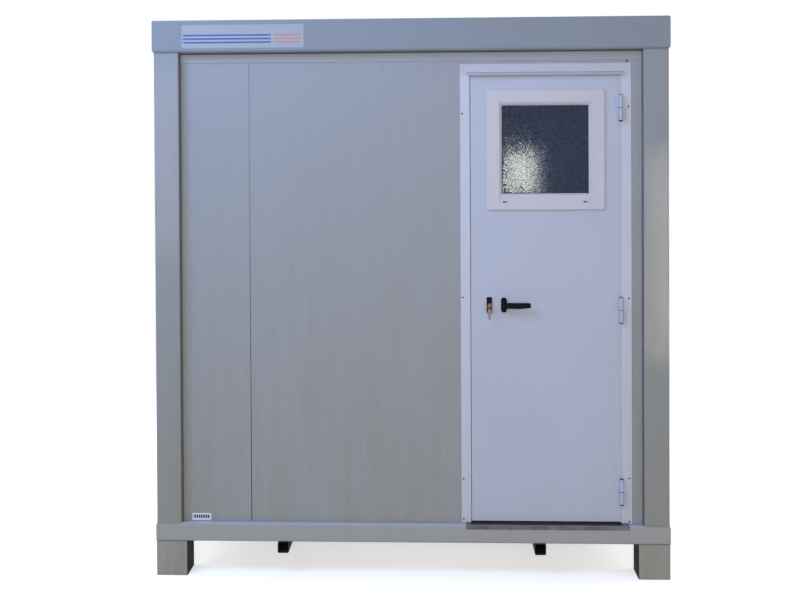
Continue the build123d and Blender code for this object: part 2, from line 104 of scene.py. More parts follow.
class CabinColours(bpy.types.PropertyGroup):
    """Colours of the cabin's paints, plastics and metals."""

    frame_paint: colour("Frame paint", "Powder coat on beams, posts, rails and feet", "8C9198")
    beam_paint: colour("Roof beam paint", "Powder coat on the roof beams, a darker batch", "848A95")
    rail_paint: colour("Base rail paint", "Powder coat on the base rails, a warmer batch", "9C9C9C")
    wall_paint: colour("Wall paint", "Coil coating on the outside of the wall panels", "9598A0")
    lining_paint: colour("Lining", "Coating on the inside of the wall panels", "D3D5D6")
    door_paint: colour("Door paint", "Paint on the leaf", "B1B5C6")
    trim_paint: colour("Door frame paint", "Paint on jambs, head and drip strip", "BFC1CE")
    window_plastic: colour("Window plastic", "Extruded white plastic of the window", "BAB8C4")
    hinge_coat: colour("Hinge coat", "Coating of the hinges", "A9B0C8")
    fitting_plastic: colour("Handle plastic", "Plastic of lever, rosettes and plates", "0C0C12")
    # This colour also makes the threshold strip, a painted shadow under the leaf
    rubber: colour("Rubber", "Gaskets and the strip on the threshold", "1B1B1F")
    seal: colour("Door seal", "Light seal between the leaf and its frame", "AEB2C2")
    zinc: colour("Zinc", "Zinc coating on the roof sheet, the underside and the joists", "9AA0A4")
    floor_covering: colour("Floor covering", "Sheet covering on the floor board", "6E7274")
    soil: colour("Dust", "Dust and splashed dirt on the lower parts", "88826F")
    film: colour("Plain film", "Plain film on the roof beam", "9DA1AA")
    stripe: colour("Film stripe", "Long stripe on the film", "4A5F99")
    stripe_end: colour("Film stripe end", "Short stripe on the film", "B9857F")


class CabinSizes(bpy.types.PropertyGroup):
    """Sizes of the small fittings."""

    screw_head: size("Screw head", "Diameter of a screw head", 8.0)
    screw_rise: size("Screw rise", "Height of a screw head over the sheet", 2.4)
    seal_lock: size("Lock side seal", "Width of the seal on the lock side", 4.6)
    seal_hinge: size("Hinge side seal", "Width of the seal on the hinge side", 4.5)
    seal_top: size("Top seal", "Height of the seal over the leaf", 4.2)
    seal_depth: size("Seal depth", "Depth of the seals into the gap", 12.0)
    seal_back: size("Seal setback", "Distance of the seals behind the leaf's face", 0.4)
    weld: size("Weld", "Radius of the weld beads on the frame", 2.2)
    gasket: size("Gasket", "Width of the gasket round the glass", 2.5)
    key_ring: size("Key ring", "Radius of the key ring", 9.0)


class CabinStudio(bpy.types.PropertyGroup):
    """Camera and lamps."""

    camera_lens: FloatProperty(
        name="Lens", description="Focal length", default=50.59, min=1.0, unit="CAMERA"
    )
    key_power: lamp_power("Key", "Power of the large lamp in front", 258.0)
    sky_power: lamp_power("Sky", "Power of the bluish lamp above", 102.0)
    rear_power: lamp_power("Rear", "Power of the lamp behind", 225.0)
    side_power: lamp_power("Sides", "Power of each lamp at a side", 125.0)
    world_level: FloatProperty(
        name="World", description="Even light from all sides", default=0.45, min=0.0, max=1.0
    )


def colours():
    return bpy.context.scene.cabin_colours


def sizes():
    return bpy.context.scene.cabin_sizes


def rgba(values):
    """A colour with full cover."""
    return (*values, 1.0)


def shade(values, factor):
    """A colour made darker or lighter by a factor."""
    return tuple(min(1.0, v * factor) for v in values)


def per_size(millimetres):
    """Pattern scale for Object coordinates whose features are that large."""
    return 1.0 / (millimetres * MM)


def add_node(tree, kind, inputs=(), **settings):
    """Adds a node with its settings. Inputs are linked to a socket or set to a value."""
    item = tree.nodes.new(kind)
    for name, value in settings.items():
        setattr(item, name, value)
    for name, value in dict(inputs).items():
        if isinstance(value, bpy.types.NodeSocket):
            tree.links.new(value, item.inputs[name])
        else:
            item.inputs[name].default_value = value
    return item


# Sockets of the colour mix node
MIX_FACTOR, MIX_A, MIX_B, MIX_RESULT = 0, 6, 7, 2


def blended(tree, factor, a, b):
    """The colour socket between a and b, which are sockets or linear colours."""
    a, b = (x if isinstance(x, bpy.types.NodeSocket) else rgba(x) for x in (a, b))
    inputs = {MIX_FACTOR: factor, MIX_A: a, MIX_B: b}
    return add_node(tree, "ShaderNodeMix", inputs, data_type="RGBA").outputs[MIX_RESULT]


def calculated(tree, operation, *values):
    """The value socket of one sum."""
    return add_node(tree, "ShaderNodeMath", dict(enumerate(values)), operation=operation).outputs[0]


def product(tree, first, *others):
    """The value socket of values multiplied together."""
    for other in others:
        first = calculated(tree, "MULTIPLY", first, other)
    return first


def vector(tree, operation, *values, output=0):
    """The socket of one sum with vectors."""
    inputs = dict(enumerate(values))
    return add_node(tree, "ShaderNodeVectorMath", inputs, operation=operation).outputs[output]


def axes(tree, point):
    """The sockets X, Y and Z of a point."""
    return add_node(tree, "ShaderNodeSeparateXYZ", {"Vector": point}).outputs


def within(tree, point, x, y):
    """Two sockets: one where the point is nearer to the middle plane than x, and the same for y."""
    part = axes(tree, vector(tree, "ABSOLUTE", point))
    return calculated(tree, "LESS_THAN", part["X"], x), calculated(tree, "LESS_THAN", part["Y"], y)


def ranged(tree, value, from_low, from_high, to_low, to_high):
    """The value socket moved from one range to another and held inside it."""
    inputs = {
        "Value": value, "From Min": from_low, "From Max": from_high,
        "To Min": to_low, "To Max": to_high,
    }
    return add_node(tree, "ShaderNodeMapRange", inputs, clamp=True).outputs[0]


# Nearly all of a noise pattern's values lie between these two
NOISE_LOW, NOISE_HIGH = 0.3, 0.7


def spread(tree, pattern, to_low, to_high):
    """The value socket of a noise pattern, spread over a range."""
    return ranged(tree, pattern, NOISE_LOW, NOISE_HIGH, to_low, to_high)


def feed(tree, shader, **sockets):
    """Links sockets to the shader's inputs."""
    for name, socket in sockets.items():
        tree.links.new(socket, shader.inputs[name.replace("_", " ")])


def overlay(tree, shader, cover, tint):
    """Lays a linear colour over the shader's colour so far, as far as the cover goes."""
    base = shader.inputs["Base Color"].links[0].from_socket
    feed(tree, shader, Base_Color=blended(tree, cover, base, tint))


def new_finish(name, **shader_values):
    """A material with its shader, and the point on the piece that its patterns read."""
    material = bpy.data.materials.new(name)
    material.use_nodes = True
    tree = material.node_tree
    tree.nodes.clear()
    shader = add_node(tree, "ShaderNodeBsdfPrincipled")
    for socket, value in shader_values.items():
        shader.inputs[socket.replace("_", " ")].default_value = value
    add_node(tree, "ShaderNodeOutputMaterial", {"Surface": shader.outputs[0]})
    point = add_node(tree, "ShaderNodeTexCoord").outputs["Object"]
    return material, tree, shader, point


def noise(tree, point, millimetres, detail=2.0, stretch=(1.0, 1.0, 1.0)):
    """A noise socket with features of a real size, drawn out where stretch is under one."""
    if stretch != (1.0, 1.0, 1.0):
        point = add_node(tree, "ShaderNodeMapping", {"Vector": point, "Scale": stretch}).outputs[0]
    inputs = {"Vector": point, "Scale": per_size(millimetres), "Detail": detail}
    return add_node(tree, "ShaderNodeTexNoise", inputs).outputs[0]


def cells(tree, point, millimetres):
    """The colour socket of cells of a real size, each with random values, and its first value."""
    inputs = {"Vector": point, "Scale": per_size(millimetres)}
    tints = add_node(tree, "ShaderNodeTexVoronoi", inputs).outputs["Color"]
    return tints, add_node(tree, "ShaderNodeSeparateColor", {"Color": tints}).outputs[0]


def add_skin(tree, shader, height, depth_mm, strength):
    """Gives the shader a bump of a real depth."""
    inputs = {"Height": height, "Distance": depth_mm * MM, "Strength": strength}
    bump = add_node(tree, "ShaderNodeBump", inputs)
    feed(tree, shader, Normal=bump.outputs[0])


def dusted(tree, point, clean, reach_mm, most):
    """The colour socket with dust that lies low and thins out upwards, in faint upright runs."""
    height = axes(tree, point)["Z"]
    low = ranged(tree, height, 0.0, reach_mm * MM, 1.0, 0.0)
    runs = noise(tree, point, 60.0, detail=4.0, stretch=(1.0, 1.0, 0.12))
    grain = noise(tree, point, 9.0, detail=3.0)
    patch = product(tree, ranged(tree, runs, 0.35, 0.7, 0.6, 1.0), low)
    cover = product(tree, patch, spread(tree, grain, 0.8 * most, most))
    return blended(tree, cover, clean, colours().soil)


def sprayed_paint(
    name, paint, roughness, peel_mm=4.0, peel_depth=0.05, reach_mm=1400.0, dust=0.25, gloss=0.3
):
    """Paint on steel sheet: a faint cloud in the colour, a fine skin, and dust low down."""
    material, tree, shader, point = new_finish(name, IOR=1.5, Specular_IOR_Level=gloss)
    cloud = noise(tree, point, 420.0, detail=3.0)
    base = blended(tree, cloud, shade(paint, 0.95), shade(paint, 1.05))
    feed(tree, shader, Base_Color=dusted(tree, point, base, reach_mm, dust))
    feed(tree, shader, Roughness=spread(tree, cloud, roughness - 0.04, roughness + 0.06))
    add_skin(tree, shader, noise(tree, point, peel_mm), peel_depth, 0.5)
    return material, tree, shader, point


def paint_shade_on_inner_faces(tree, shader, point, inner, most):
    """Painted shade: a dark, dull mottle on the faces of the four corner pieces that look under or
    along the cabin.
    """
    reach = 2.0 * MM
    hidden = calculated(tree, "MAXIMUM", *within(tree, point, inner.x + reach, inner.y + reach))
    shade_mottle = spread(tree, noise(tree, point, 35.0, detail=5.0), 0.8 * most, most)
    overlay(tree, shader, product(tree, hidden, shade_mottle), linear("2E2A2A"))


def near(tree, value, middle, half):
    """One where the value is within half of the middle, and nothing elsewhere."""
    return calculated(tree, "COMPARE", value, middle, half)


def rectangle_mask(tree, point, x0, x1, z0, z1):
    """One inside an upright rectangle given in millimetres."""
    part = axes(tree, point)
    across = near(tree, part["X"], (x0 + x1) / 2 * MM, (x1 - x0) / 2 * MM)
    upward = near(tree, part["Z"], (z0 + z1) / 2 * MM, (z1 - z0) / 2 * MM)
    return product(tree, across, upward)


def give(names, material):
    """Puts a finish on CAD nodes."""
    for name in names:
        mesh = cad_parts[name].data
        mesh.materials.clear()
        mesh.materials.append(material)


def spray(names, *settings, **more):
    """Sprays CAD nodes with a plain paint."""
    give(names, sprayed_paint(*settings, **more)[0])


def nodes_starting(*starts):
    """Names of the CAD nodes that begin with one of these words."""
    return [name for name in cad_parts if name.startswith(starts)]


def make_piece(name, form, material, body):
    """Turns a finished bmesh into a piece at the origin that moves with its CAD body."""
    bmesh.ops.recalc_face_normals(form, faces=form.faces)
    mesh = bpy.data.meshes.new(name)
    form.to_mesh(mesh)
    form.free()
    mesh.materials.append(material)
    piece = bpy.data.objects.new(name, mesh)
    bpy.context.scene.collection.objects.link(piece)
    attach(piece, body)
    return piece


def edges_of(verts):
    """The edges that meet these vertices, each once."""
    return list({edge for vert in verts for edge in vert.link_edges})


def round_edges(form, edges, offset, segments):
    """Rounds edges evenly."""
    bmesh.ops.bevel(
        form, geom=edges, offset=offset, offset_type="OFFSET", segments=segments,
        profile=0.5, material=-1, affect="EDGES", clamp_overlap=True,
    )


def add_bar(form, low, high, rounding, segments=2):
    """A bar between two corners, with rounded edges, all in millimetres."""
    low, high = Vector(low) * MM, Vector(high) * MM
    place = Matrix.Translation((low + high) / 2) @ Matrix.Diagonal((*(high - low), 1.0))
    verts = bmesh.ops.create_cube(form, size=1.0, matrix=place)["verts"]
    round_edges(form, edges_of(verts), rounding * MM, segments)


# Turns of a form drawn upwards along Z: to face the front, to stay so, and to hang down
FACING_FRONT = Matrix.Rotation(math.radians(90), 4, "X")
UPRIGHT = Matrix.Identity(4)
UPSIDE_DOWN = Matrix.Rotation(math.pi, 4, "X")


def add_disc(form, centre, radius, depth, turn, rounding, segments=32):
    """A disc from its back centre, in millimetres, with a rounded rim. Returns its outer face."""
    centre = Vector(centre) * MM
    radius, depth = radius * MM, depth * MM
    place = Matrix.Translation(centre) @ turn @ Matrix.Translation((0, 0, depth / 2))
    verts = bmesh.ops.create_cone(
        form, cap_ends=True, segments=segments, radius1=radius, radius2=radius,
        depth=depth, matrix=place,
    )["verts"]
    outward = turn @ Vector((0, 0, 1))
    end = centre + outward * depth
    rim = [edge for edge in edges_of(verts) if lies_across(edge, outward, end)]
    round_edges(form, rim, rounding * MM, 3)
    return min(form.faces, key=lambda face: (face.calc_center_median() - end).length)


def lies_across(edge, direction, end):
    """Whether both ends of an edge lie in the plane through a point and across a direction."""
    return all(abs((vert.co - end).dot(direction)) < 0.01 * MM for vert in edge.verts)


def spin_round(form, geom, centre, axis, steps):
    """Spins a section once about an axis through a point in millimetres."""
    bmesh.ops.spin(
        form, geom=geom, cent=centre * MM, axis=axis, angle=math.tau, steps=steps, use_merge=True
    )


def millimetres(node):
    """Lowest and highest corners of a CAD node in millimetres."""
    low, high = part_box(node)
    return low / MM, high / MM


class CABIN_OT_coat_frame(bpy.types.Operator):
    """Powder coat on beams, posts, rails, feet and lift tubes, and a film on the front beam"""

    bl_idname = "cabin.coat_frame"
    bl_label = "Coat Frame"

    def execute(self, context):
        paints = colours()
        powder = {"roughness": 0.42, "peel_depth": 0.06}
        # Powder coat on folded steel: even and satin, with a fine orange peel and dust low down
        post, tree, shader, point = sprayed_paint(
            "powder_coated_post", paints.frame_paint, reach_mm=2300.0, dust=0.9, **powder
        )
        # Painted shade on the posts' faces that look under or along the cabin
        paint_shade_on_inner_faces(tree, shader, point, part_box("corner_post_rear_right")[0], 0.55)
        give(nodes_starting("corner_post"), post)
        # The rails' upper flange is paler and bluer on its front half, a painted reflection of the
        # sky
        rail, tree, shader, point = sprayed_paint(
            "powder_coated_base_rail", paints.rail_paint, **powder
        )
        rail_low, rail_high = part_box("base_rail_front")
        place = axes(tree, point)
        flange = calculated(tree, "GREATER_THAN", place["Z"], rail_high.z - 1.0 * MM)
        edge = calculated(tree, "LESS_THAN", place["Y"], rail_low.y + 32.0 * MM)
        overlay(tree, shader, product(tree, flange, edge, 0.8), linear("B4C2DA"))
        give(nodes_starting("base_rail"), rail)
        spray(nodes_starting("roof_beam"), "powder_coated_roof_beam", paints.beam_paint, **powder)
        # The same coat on the feet, chalked by dried dirt, which scatters and hardly shines, and
        # darkened by painted shade where they look under the cabin
        foot, tree, shader, point = sprayed_paint(
            "powder_coated_foot", shade(paints.rail_paint, 1.15), 0.55, peel_depth=0.06,
            reach_mm=2300.0, dust=0.8, gloss=0.06,
        )
        shader.inputs["IOR"].default_value = 1.15
        # Painted shade, nearly full, on the feet's faces that look under or along the cabin
        paint_shade_on_inner_faces(tree, shader, point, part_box("foot_rear_right")[0], 0.96)
        give(nodes_starting("foot"), foot)
        # Lift tubes near black all over, dull, and greyed by dust
        black = linear("14151A")
        spray(nodes_starting("lift_tube"), "black_tube_enamel", black, 0.6, dust=0.12, gloss=0.06)
        # The front beam's powder coat carries a matt adhesive film: paler, with plain stripes
        beam, tree, shader, point = sprayed_paint(
            "powder_coat_with_film", paints.beam_paint, **powder
        )
        front = calculated(tree, "LESS_THAN", axes(tree, point)["Y"], cad_low[1] + 0.5 * MM)
        # Left, right, bottom and top of the film and its stripes in millimetres, and the tint
        areas = [(-1014, -468, 2365, 2468, paints.film)]
        height = 7
        for low in (2386, 2402, 2418):
            areas.append((-1008, -614, low, low + height, paints.stripe))
            areas.append((-598, -480, low, low + height, paints.stripe_end))
        for x0, x1, z0, z1, tint in areas:
            area = rectangle_mask(tree, point, x0, x1, z0, z1)
            overlay(tree, shader, product(tree, area, front), tint)
        give(["roof_beam_front"], beam)
        return {"FINISHED"}


class CABIN_OT_coat_walls(bpy.types.Operator):
    """Coil coating on the sandwich panels, paler on the side that faces the room"""

    bl_idname = "cabin.coat_walls"
    bl_label = "Coat Walls"

    def execute(self, context):
        # Coil coated steel skin: flat and satin, with the faint wave of thin sheet over foam
        skin, tree, shader, point = sprayed_paint(
            "coil_coated_panel_skin", colours().wall_paint, 0.46, peel_mm=12.0, peel_depth=0.05,
            reach_mm=2300.0, dust=0.75,
        )
        # Dirt in the upright joint of the front wall: thick up to 0.3 m, faint from 1.8 m
        place = axes(tree, point)
        joint = near(tree, place["X"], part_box("front_wall_left")[1].x, 1.8 * MM)
        face = calculated(tree, "LESS_THAN", place["Y"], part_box("front_wall_left")[0].y + 4 * MM)
        reach = ranged(tree, place["Z"], 0.3, 1.8, 0.95, 0.1)
        overlay(tree, shader, product(tree, joint, face, reach), linear("34343A"))
        # The paler lining on every face that looks into the room
        inner_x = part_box("right_wall_front")[0].x
        inner_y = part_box("rear_wall_middle")[0].y
        room = product(tree, *within(tree, point, inner_x + MM, inner_y + MM))
        overlay(tree, shader, room, colours().lining_paint)
        give(nodes_starting("front_wall", "left_wall", "right_wall", "rear_wall"), skin)
        # Folded cover strips in the same coil coating, lighter as painted light against the shadow
        # under the beam
        spray(["head_trims"], "coil_coated_cover_strip", shade(colours().wall_paint, 1.1), 0.5)
        return {"FINISHED"}


class CABIN_OT_finish_roof_and_floor(bpy.types.Operator):
    """Zinc coated roof sheet, underside and joists, white ceiling and grey floor covering"""

    bl_idname = "cabin.finish_roof_and_floor"
    bl_label = "Finish Roof And Floor"

    def execute(self, context):
        zinc = colours().zinc
        # Hot dip galvanised sheet: dull grey metal with spangles of about 12 mm in two tones
        metal, tree, shader, point = new_finish("galvanised_sheet", Metallic=1.0)
        tone = cells(tree, point, 12.0)[1]
        base = blended(tree, tone, shade(zinc, 0.82), shade(zinc, 1.15))
        feed(tree, shader, Base_Color=dusted(tree, point, base, 3000.0, 0.35))
        feed(tree, shader, Roughness=ranged(tree, tone, 0.0, 1.0, 0.38, 0.56))
        add_skin(tree, shader, noise(tree, point, 25.0), 0.08, 0.4)
        give(["roof_sheet", "underside_pan", "floor_joists"], metal)
        # Coil coated ceiling skin: plain white and satin
        white = linear("D8DAD8")
        spray(["ceiling_panel"], "coil_coated_ceiling", white, 0.45, peel_mm=12.0, dust=0.0)
        # Homogeneous vinyl sheet: mid grey with fine darker flecks of about 6 mm and a dull sheen
        vinyl, tree, shader, point = new_finish("vinyl_floor_sheet", Roughness=0.55, IOR=1.53)
        fleck = ranged(tree, noise(tree, point, 6.0, detail=4.0), 0.52, 0.62, 0.0, 1.0)
        grey = colours().floor_covering
        feed(tree, shader, Base_Color=blended(tree, fleck, grey, shade(grey, 0.62)))
        add_skin(tree, shader, noise(tree, point, 3.0), 0.05, 0.5)
        give(["floor_board"], vinyl)
        return {"FINISHED"}


class CABIN_OT_finish_door(bpy.types.Operator):
    """Paint on the leaf and its frame, coated hinges and the worn threshold"""

    bl_idname = "cabin.finish_door"
    bl_label = "Finish Door"

    def execute(self, context):
        paint, enamel = colours().door_paint, colours().trim_paint
        # Stove enamelled steel leaf: smooth, pale and satin
        spray(["door_leaf"], "stove_enamelled_leaf", paint, 0.38, peel_mm=6.0, dust=0.15)
        # Stove enamelled frame: a little lighter and rougher than the leaf
        spray(["door_jamb_left", "door_jamb_right"], "stove_enamelled_frame", enamel, 0.44)
        # The head in the same enamel, darker as painted shade under the beam's overhang
        spray(["door_head"], "stove_enamelled_head", shade(enamel, 0.88), 0.48)
        # Drip strip in the same enamel, darker all over as painted shade, with dust that reaches
        # its full height
        spray(["drip_strip"], "enamelled_drip_strip", shade(enamel, 0.86), 0.5, reach_mm=6000.0)
        # Coated steel hinge: smooth and slightly glossier than the leaf
        hinge, tree, shader, point = new_finish("coated_hinge_steel", IOR=1.5)
        coat = colours().hinge_coat
        cloud = noise(tree, point, 18.0, detail=3.0)
        feed(tree, shader, Base_Color=blended(tree, cloud, shade(coat, 0.94), shade(coat, 1.05)))
        feed(tree, shader, Roughness=spread(tree, cloud, 0.3, 0.4))
        add_skin(tree, shader, noise(tree, point, 2.0), 0.02, 0.5)
        give(["hinge_frame_halves", "hinge_leaf_halves"], hinge)
        # Mill finished aluminium plate: dull, brushed by feet, with brown dirt on the folded lip
        plate, tree, shader, point = new_finish("worn_mill_aluminium", Metallic=0.85)
        scuff = noise(tree, point, 14.0, detail=5.0, stretch=(0.25, 1.0, 1.0))
        metal = blended(tree, scuff, linear("5C5D68"), linear("9495A0"))
        height = axes(tree, point)["Z"]
        lip_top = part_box("threshold")[1].z
        lip = ranged(tree, height, lip_top - 5 * MM, lip_top - 2 * MM, 1.0, 0.0)
        stain = noise(tree, point, 45.0, detail=4.0)
        dirt = product(tree, lip, ranged(tree, stain, 0.3, 0.62, 0.95, 0.45))
        feed(tree, shader, Base_Color=blended(tree, dirt, metal, linear("4D4540")))
        feed(tree, shader, Roughness=spread(tree, scuff, 0.36, 0.6))
        add_skin(tree, shader, scuff, 0.1, 0.6)
        give(["threshold"], plate)
        return {"FINISHED"}


class CABIN_OT_finish_window(bpy.types.Operator):
    """White plastic window frame and bead, and patterned glass"""

    bl_idname = "cabin.finish_window"
    bl_label = "Finish Window"

    def execute(self, context):
        plastic = colours().window_plastic
        # Extruded window plastic: smooth, slightly warm white, with a soft gloss
        frame_skin, tree, shader, point = new_finish("extruded_window_plastic", IOR=1.53)
        cloud = noise(tree, point, 160.0, detail=3.0)
        base = blended(tree, cloud, shade(plastic, 0.97), shade(plastic, 1.03))
        feed(tree, shader, Base_Color=base)
        feed(tree, shader, Roughness=spread(tree, cloud, 0.28, 0.36))
        add_skin(tree, shader, noise(tree, point, 5.0), 0.02, 0.4)
        give(["window_frame", "window_bead"], frame_skin)
        # Rolled ornamental glass: dark and bluish, with grains that each lean a little and sparkle.
        # The real grain of about 3 mm is drawn at 5 mm, because a finer one doesn't show
        glass, tree, shader, point = new_finish(
            "rolled_ornamental_glass", IOR=1.45, Transmission_Weight=0.9, Specular_IOR_Level=0.46
        )
        shader.inputs["Specular Tint"].default_value = rgba(linear("D2E4FF"))
        grain, tone = cells(tree, point, 5.0)
        feed(tree, shader, Base_Color=blended(tree, tone, linear("3A4464"), linear("7385B0")))
        feed(tree, shader, Roughness=ranged(tree, tone, 0.0, 1.0, 0.03, 0.1))
        # Most grains lean by less than half a degree, and a few by up to one
        half = vector(tree, "SUBTRACT", grain, (0.5, 0.5, 0.5))
        cube = vector(tree, "MULTIPLY", vector(tree, "MULTIPLY", half, half), half)
        lean = vector(tree, "MULTIPLY", cube, (0.085, 0.085, 0.085))
        flat = add_node(tree, "ShaderNodeNewGeometry").outputs["Normal"]
        feed(tree, shader, Normal=vector(tree, "NORMALIZE", vector(tree, "ADD", flat, lean)))
        give(["window_glass"], glass)
        return {"FINISHED"}


class CABIN_OT_finish_fittings(bpy.types.Operator):
    """Black moulded lever, rosettes and plates, brass lock and key"""

    bl_idname = "cabin.finish_fittings"
    bl_label = "Finish Fittings"

    def execute(self, context):
        # Glass filled nylon: near black, matt, with a fine moulded grain of about 0.8 mm
        nylon, tree, shader, point = new_finish("moulded_nylon", IOR=1.53, Specular_IOR_Level=0.08)
        black = colours().fitting_plastic
        rub = noise(tree, point, 30.0, detail=3.0)
        feed(tree, shader, Base_Color=blended(tree, rub, black, shade(black, 1.5)))
        feed(tree, shader, Roughness=spread(tree, rub, 0.42, 0.56))
        add_skin(tree, shader, noise(tree, point, 0.8), 0.03, 0.6)
        give(["lever_rosettes", "lock_plates", "lever_handle"], nylon)
        # Nickel plated brass, rubbed through on the key: warm metal with dull brown hollows
        brass, tree, shader, point = new_finish("worn_brass", Metallic=1.0)
        wear = noise(tree, point, 7.0, detail=5.0)
        rubbed = ranged(tree, wear, 0.35, 0.65, 0.0, 1.0)
        feed(tree, shader, Base_Color=blended(tree, rubbed, linear("6A4A36"), linear("AE8660")))
        feed(tree, shader, Roughness=spread(tree, wear, 0.45, 0.28))
        add_skin(tree, shader, wear, 0.03, 0.5)
        give(["lock_cylinder", "door_key"], brass)
        return {"FINISHED"}


def stainless(name="brushed_stainless", tones=("55555A", "94949A")):
    """Brushed steel: cool, in two tones, and finely lined at about 1 mm so that the lines show."""
    material, tree, shader, point = new_finish(name, Metallic=1.0)
    lines = noise(tree, point, 1.0, detail=4.0, stretch=(1.0, 1.0, 0.15))
    feed(tree, shader, Base_Color=blended(tree, lines, linear(tones[0]), linear(tones[1])))
    feed(tree, shader, Roughness=spread(tree, lines, 0.25, 0.42))
    return material


def rubber(name, tint, roughness=0.7):
    """Extruded rubber: dull, with a fine skin of about 2 mm and a little chalking."""
    material, tree, shader, point = new_finish(name, IOR=1.5)
    chalk = noise(tree, point, 20.0, detail=4.0)
    feed(tree, shader, Base_Color=blended(tree, chalk, tint, shade(tint, 1.25)))
    feed(tree, shader, Roughness=spread(tree, chalk, roughness - 0.06, roughness + 0.06))
    add_skin(tree, shader, noise(tree, point, 2.0), 0.03, 0.5)
    return material


class CABIN_OT_add_frame_screws(bpy.types.Operator):
    """Pan head screws along the outer edges of the jambs, and one in the wall over the door"""

    bl_idname = "cabin.add_frame_screws"
    bl_label = "Add Frame Screws"

    def execute(self, context):
        # Zinc plated and blued: dark and dull, as small screws look against the pale enamel
        steel = stainless("zinc_plated_screws", ("2E3138", "5A5E68"))
        face = millimetres("door_jamb_left")[0].y
        wall = millimetres("front_wall_over_door")[0].y
        # Places in millimetres: up the outer edges of the jambs, and over the door
        places = [(235.0, face, z) for z in (251.0, 431.0, 1245.0, 2067.0)]
        places += [(973.0, face, z) for z in (243.0, 437.0, 1241.0, 2094.0)]
        places.append((966.0, wall, 2297.0))
        radius = sizes().screw_head / MM / 2
        rise = sizes().screw_rise / MM
        form = bmesh.new()
        for place in places:
            top = add_disc(form, place, radius, rise, FACING_FRONT, rise * 0.7, segments=24)
            # A round drive recess, sunk into the head
            bmesh.ops.inset_region(form, faces=[top], thickness=radius * 0.25 * MM)
            bmesh.ops.inset_region(form, faces=[top], thickness=radius * 0.05 * MM)
            bmesh.ops.translate(form, verts=top.verts, vec=(0, rise * 0.5 * MM, 0))
        make_piece("jamb_screws", form, steel, CABIN)
        return {"FINISHED"}


class CABIN_OT_add_door_seals(bpy.types.Operator):
    """Soft seals on the jambs and the head, just behind the leaf's face"""

    bl_idname = "cabin.add_door_seals"
    bl_label = "Add Door Seals"

    def execute(self, context):
        seal = rubber("light_silicone_seal", colours().seal, 0.6)
        leaf_low, leaf_high = millimetres("door_leaf")
        jamb_left = leaf_low.x - LOCK_GAP
        jamb_right = leaf_high.x + HINGE_GAP
        head = leaf_high.z + TOP_GAP
        floor = millimetres("threshold")[1].z
        front = leaf_low.y + sizes().seal_back / MM
        back = front + sizes().seal_depth / MM
        left = jamb_left + sizes().seal_lock / MM
        right = jamb_right - sizes().seal_hinge / MM
        under = head - sizes().seal_top / MM
        form = bmesh.new()
        for low, high in (
            ((jamb_left, front, floor), (left, back, head)),
            ((right, front, floor), (jamb_right, back, head)),
            ((left, front, under), (right, back, head)),
        ):
            add_bar(form, low, high, 1.2, 3)
        make_piece("door_seals", form, seal, CABIN)
        return {"FINISHED"}


class CABIN_OT_add_shadow_under_beam(bpy.types.Operator):
    """Dark strip in the corner under the front beam, over the cover strip, a painted shadow of the
    beam
    """

    bl_idname = "cabin.add_beam_seal"
    bl_label = "Add Shadow Under Beam"

    def execute(self, context):
        # The dark strip is a painted shadow line under the beam
        shadow_finish = rubber("beam_shadow_strip_finish", linear("505052"), 0.85)
        wall = millimetres("front_wall_middle")[0].y
        beam = millimetres("roof_beam_front")[0].z
        post = millimetres("corner_post_front_right")[0].x
        form = bmesh.new()
        add_bar(form, (-post, wall - 6.0, beam - 5.0), (post, wall - 3.0, beam), 1.0)
        make_piece("painted_beam_shadow_line", form, shadow_finish, CABIN)
        return {"FINISHED"}


class CABIN_OT_add_threshold_shadow(bpy.types.Operator):
    """Ribbed dark strip on the threshold in front of the leaf, a painted shadow under the leaf"""

    bl_idname = "cabin.add_threshold_strip"
    bl_label = "Add Threshold Shadow"

    def execute(self, context):
        # The dark strip is a painted shadow in the gap under the leaf
        strip = rubber("threshold_shadow_finish", colours().rubber, 0.75)
        leaf_low, leaf_high = millimetres("door_leaf")
        top = millimetres("threshold")[1].z
        form = bmesh.new()
        left, right = leaf_low.x - 6.0, leaf_high.x + 4.0
        back, front = leaf_low.y, leaf_low.y - 36.0
        add_bar(form, (left, front, top), (right, back, top + 0.8), 0.3)
        ribs = 6
        pitch = (back - front) / ribs
        for i in range(ribs):
            middle = front + pitch * (i + 0.5)
            low = (left + 2, middle - 1.2, top + 0.6)
            add_bar(form, low, (right - 2, middle + 1.2, top + 1.4), 0.3)
        make_piece("painted_threshold_shadow", form, strip, CABIN)
        return {"FINISHED"}


class CABIN_OT_add_window_parts(bpy.types.Operator):
    """Gasket round the glass and two drain caps on the lower bead"""

    bl_idname = "cabin.add_window_parts"
    bl_label = "Add Window Parts"

    def execute(self, context):
        black = rubber("window_gasket_rubber", colours().rubber, 0.6)
        low, high = millimetres("window_bead")
        glass_front = millimetres("window_glass")[0].y
        # The bead covers the glass by 14 mm, and by 41 mm at its foot
        side, foot = 14.0, 41.0
        x0, x1 = low.x + side, high.x - side
        z0, z1 = low.z + foot, high.z - side
        width = sizes().gasket / MM
        front = glass_front - 2.0
        form = bmesh.new()
        for start, end in (
            ((x0, front, z0), (x0 + width, glass_front, z1)),
            ((x1 - width, front, z0), (x1, glass_front, z1)),
            ((x0 + width, front, z0), (x1 - width, glass_front, z0 + width)),
            ((x0 + width, front, z1 - width), (x1 - width, glass_front, z1)),
        ):
            add_bar(form, start, end, 0.6)
        make_piece("glass_gasket", form, black, DOOR)
        # The drain caps: lower and upper edge, half the width, and the middle of each
        form = bmesh.new()
        cap_bottom, cap_top, half = 1669.0, 1674.5, 9.0
        for x in (424.0, 781.0):
            start = (x - half, low.y - 1.6, cap_bottom)
            add_bar(form, start, (x + half, low.y, cap_top), 0.7, 3)
        make_piece("drain_caps", form, black, DOOR)
        return {"FINISHED"}


